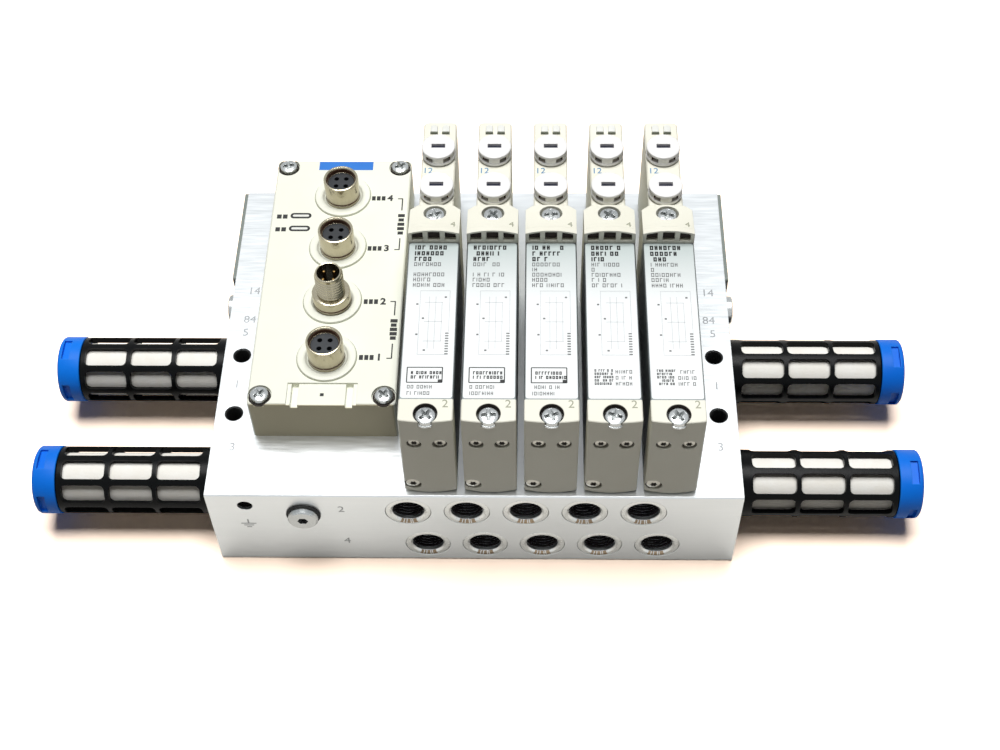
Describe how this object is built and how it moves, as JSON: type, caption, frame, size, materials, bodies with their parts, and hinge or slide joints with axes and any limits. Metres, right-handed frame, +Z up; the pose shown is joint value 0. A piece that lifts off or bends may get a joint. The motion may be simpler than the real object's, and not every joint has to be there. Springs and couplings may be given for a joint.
{
  "type": "pneumatic valve island",
  "caption": "Aluminium manifold rail with slim solenoid valves on top, threaded work ports in front, a bus interface with round connectors, and screw-in silencers at both ends.",
  "frame": {"origin": "centre of the rail's bottom face", "axes": "+X along the rail towards the valves' end, -Y towards the work ports, +Z up out of the valves"},
  "size_m": [0.2498, 0.1134, 0.0713],
  "materials": {
    "rail_metal": "satin, drawn and machined",
    "valve_metal": "satin, grey",
    "cover_plastic": "fine moulded grain, ivory",
    "housing_plastic": "fine moulded grain, cream",
    "cap_white": "smooth white",
    "stem_blue": "smooth navy",
    "cage_black": "satin black",
    "porous_white": "porous sintered",
    "end_cap_blue": "satin blue",
    "screw_steel": "zinc plated",
    "shell_nickel": "nickel plated",
    "carrier_slate": "dark slate",
    "light_pipe": "frosted",
    "seal_rubber": "matt black",
    "plate_black": "matt black"
  },
  "bodies": {
    "island": {"manifold_rail": "rail_metal", "valve_body_1": "valve_metal", "front_cover_1": "cover_plastic", "rear_cover_1": "cover_plastic", "pilot_housing_1": "cover_plastic", "valve_body_2": "valve_metal", "front_cover_2": "cover_plastic", "rear_cover_2": "cover_plastic", "pilot_housing_2": "cover_plastic", "valve_body_3": "valve_metal", "front_cover_3": "cover_plastic", "rear_cover_3": "cover_plastic", "pilot_housing_3": "cover_plastic", "valve_body_4": "valve_metal", "front_cover_4": "cover_plastic", "rear_cover_4": "cover_plastic", "pilot_housing_4": "cover_plastic", "valve_body_5": "valve_metal", "front_cover_5": "cover_plastic", "rear_cover_5": "cover_plastic", "pilot_housing_5": "cover_plastic", "silencer_cage_3_left": "cage_black", "silencer_cap_3_left": "end_cap_blue", "silencer_cage_3_right": "cage_black", "silencer_cap_3_right": "end_cap_blue", "silencer_cage_5_left": "cage_black", "silencer_cap_5_left": "end_cap_blue", "silencer_cage_5_right": "cage_black", "silencer_cap_5_right": "end_cap_blue", "silencer_filters": "porous_white", "interface_housing": "housing_plastic", "interface_screws": "screw_steel", "connector_shells": "shell_nickel", "contact_inserts": "carrier_slate", "light_pipes": "light_pipe", "valve_screws": "screw_steel", "cover_screws": "screw_steel", "port_plugs": "screw_steel", "end_plates": "plate_black", "valve_seals": "seal_rubber"},
    "stem_14_1": {"override_stem_14_1": "stem_blue"},
    "cap_14_1": {"override_cap_14_1": "cap_white"},
    "stem_12_1": {"override_stem_12_1": "stem_blue"},
    "cap_12_1": {"override_cap_12_1": "cap_white"},
    "stem_14_2": {"override_stem_14_2": "stem_blue"},
    "cap_14_2": {"override_cap_14_2": "cap_white"},
    "stem_12_2": {"override_stem_12_2": "stem_blue"},
    "cap_12_2": {"override_cap_12_2": "cap_white"},
    "stem_14_3": {"override_stem_14_3": "stem_blue"},
    "cap_14_3": {"override_cap_14_3": "cap_white"},
    "stem_12_3": {"override_stem_12_3": "stem_blue"},
    "cap_12_3": {"override_cap_12_3": "cap_white"},
    "stem_14_4": {"override_stem_14_4": "stem_blue"},
    "cap_14_4": {"override_cap_14_4": "cap_white"},
    "stem_12_4": {"override_stem_12_4": "stem_blue"},
    "cap_12_4": {"override_cap_12_4": "cap_white"},
    "stem_14_5": {"override_stem_14_5": "stem_blue"},
    "cap_14_5": {"override_cap_14_5": "cap_white"},
    "stem_12_5": {"override_stem_12_5": "stem_blue"},
    "cap_12_5": {"override_cap_12_5": "cap_white"}
  },
  "joints": [
    {"name": "push_14_1", "type": "slide", "parent": "island", "child": "stem_14_1", "axis": [0, 0, -1], "range_m": [0, 0.001], "stiffness_N_per_m": 600},
    {"name": "turn_14_1", "type": "hinge", "parent": "stem_14_1", "child": "cap_14_1", "pos_m": [-0.0113, 0.02425, 0.0663], "axis": [0, 0, -1], "range_deg": [0, 90]},
    {"name": "push_12_1", "type": "slide", "parent": "island", "child": "stem_12_1", "axis": [0, 0, -1], "range_m": [0, 0.001], "stiffness_N_per_m": 600},
    {"name": "turn_12_1", "type": "hinge", "parent": "stem_12_1", "child": "cap_12_1", "pos_m": [-0.0113, 0.03905, 0.0663], "axis": [0, 0, -1], "range_deg": [0, 90]},
    {"name": "push_14_2", "type": "slide", "parent": "island", "child": "stem_14_2", "axis": [0, 0, -1], "range_m": [0, 0.001], "stiffness_N_per_m": 600},
    {"name": "turn_14_2", "type": "hinge", "parent": "stem_14_2", "child": "cap_14_2", "pos_m": [0.0047, 0.02425, 0.0663], "axis": [0, 0, -1], "range_deg": [0, 90]},
    {"name": "push_12_2", "type": "slide", "parent": "island", "child": "stem_12_2", "axis": [0, 0, -1], "range_m": [0, 0.001], "stiffness_N_per_m": 600},
    {"name": "turn_12_2", "type": "hinge", "parent": "stem_12_2", "child": "cap_12_2", "pos_m": [0.0047, 0.03905, 0.0663], "axis": [0, 0, -1], "range_deg": [0, 90]},
    {"name": "push_14_3", "type": "slide", "parent": "island", "child": "stem_14_3", "axis": [0, 0, -1], "range_m": [0, 0.001], "stiffness_N_per_m": 600},
    {"name": "turn_14_3", "type": "hinge", "parent": "stem_14_3", "child": "cap_14_3", "pos_m": [0.0207, 0.02425, 0.0663], "axis": [0, 0, -1], "range_deg": [0, 90]},
    {"name": "push_12_3", "type": "slide", "parent": "island", "child": "stem_12_3", "axis": [0, 0, -1], "range_m": [0, 0.001], "stiffness_N_per_m": 600},
    {"name": "turn_12_3", "type": "hinge", "parent": "stem_12_3", "child": "cap_12_3", "pos_m": [0.0207, 0.03905, 0.0663], "axis": [0, 0, -1], "range_deg": [0, 90]},
    {"name": "push_14_4", "type": "slide", "parent": "island", "child": "stem_14_4", "axis": [0, 0, -1], "range_m": [0, 0.001], "stiffness_N_per_m": 600},
    {"name": "turn_14_4", "type": "hinge", "parent": "stem_14_4", "child": "cap_14_4", "pos_m": [0.0367, 0.02425, 0.0663], "axis": [0, 0, -1], "range_deg": [0, 90]},
    {"name": "push_12_4", "type": "slide", "parent": "island", "child": "stem_12_4", "axis": [0, 0, -1], "range_m": [0, 0.001], "stiffness_N_per_m": 600},
    {"name": "turn_12_4", "type": "hinge", "parent": "stem_12_4", "child": "cap_12_4", "pos_m": [0.0367, 0.03905, 0.0663], "axis": [0, 0, -1], "range_deg": [0, 90]},
    {"name": "push_14_5", "type": "slide", "parent": "island", "child": "stem_14_5", "axis": [0, 0, -1], "range_m": [0, 0.001], "stiffness_N_per_m": 600},
    {"name": "turn_14_5", "type": "hinge", "parent": "stem_14_5", "child": "cap_14_5", "pos_m": [0.0527, 0.02425, 0.0663], "axis": [0, 0, -1], "range_deg": [0, 90]},
    {"name": "push_12_5", "type": "slide", "parent": "island", "child": "stem_12_5", "axis": [0, 0, -1], "range_m": [0, 0.001], "stiffness_N_per_m": 600},
    {"name": "turn_12_5", "type": "hinge", "parent": "stem_12_5", "child": "cap_12_5", "pos_m": [0.0527, 0.03905, 0.0663], "axis": [0, 0, -1], "range_deg": [0, 90]}
  ]
}
